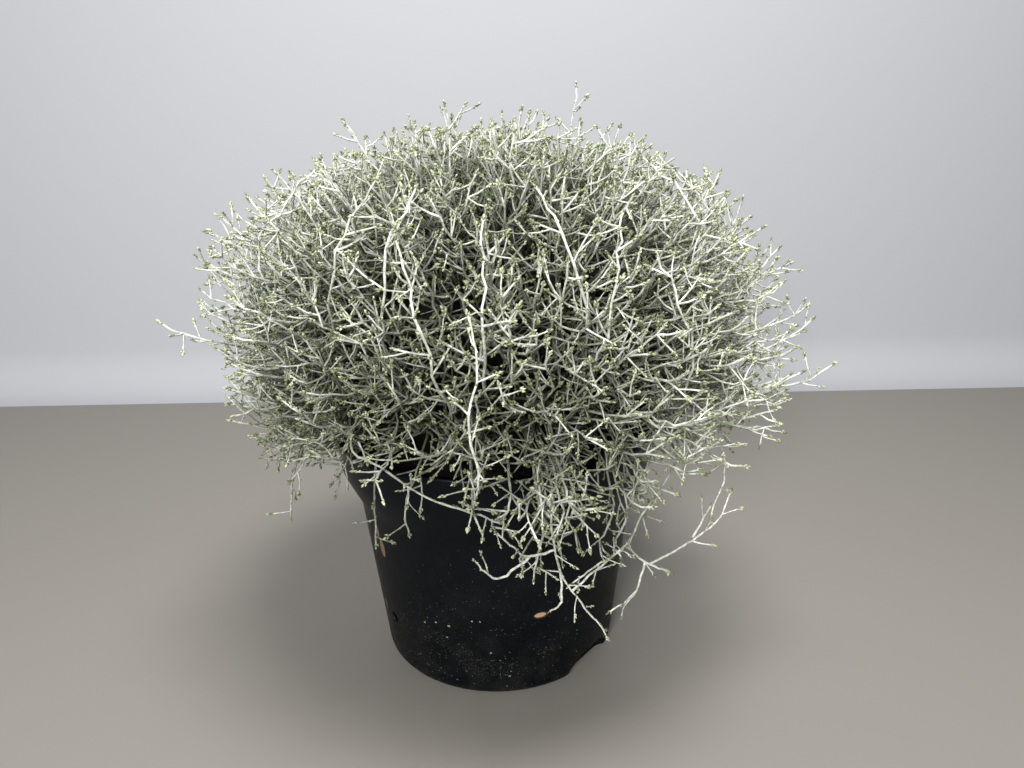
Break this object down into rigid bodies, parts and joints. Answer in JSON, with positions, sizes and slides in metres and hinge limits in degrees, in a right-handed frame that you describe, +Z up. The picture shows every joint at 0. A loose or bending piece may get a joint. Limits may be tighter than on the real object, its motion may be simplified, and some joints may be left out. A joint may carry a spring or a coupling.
{
  "type": "potted cushion bush",
  "caption": "Dome of thin, silvery, much-branched stems rising from compost in a round black plastic nursery pot; rests on its base.",
  "frame": {"origin": "bottom centre of the whole plant's box, which is the centre of the pot's base on the surface it stands on", "axes": "+Z up the pot's axis, -Y towards the front of the plant, +X to the right seen from the front"},
  "size_m": [0.3194, 0.306, 0.303],
  "materials": {
    "pot_plastic": "satin",
    "compost": "matte",
    "silver_twigs": "matte"
  },
  "bodies": {
    "root": {"pot": "pot_plastic", "soil": "compost", "spray_1": "silver_twigs", "spray_2": "silver_twigs", "spray_3": "silver_twigs", "spray_4": "silver_twigs", "spray_5": "silver_twigs", "spray_6": "silver_twigs", "spray_middle": "silver_twigs"}
  },
  "joints": []
}
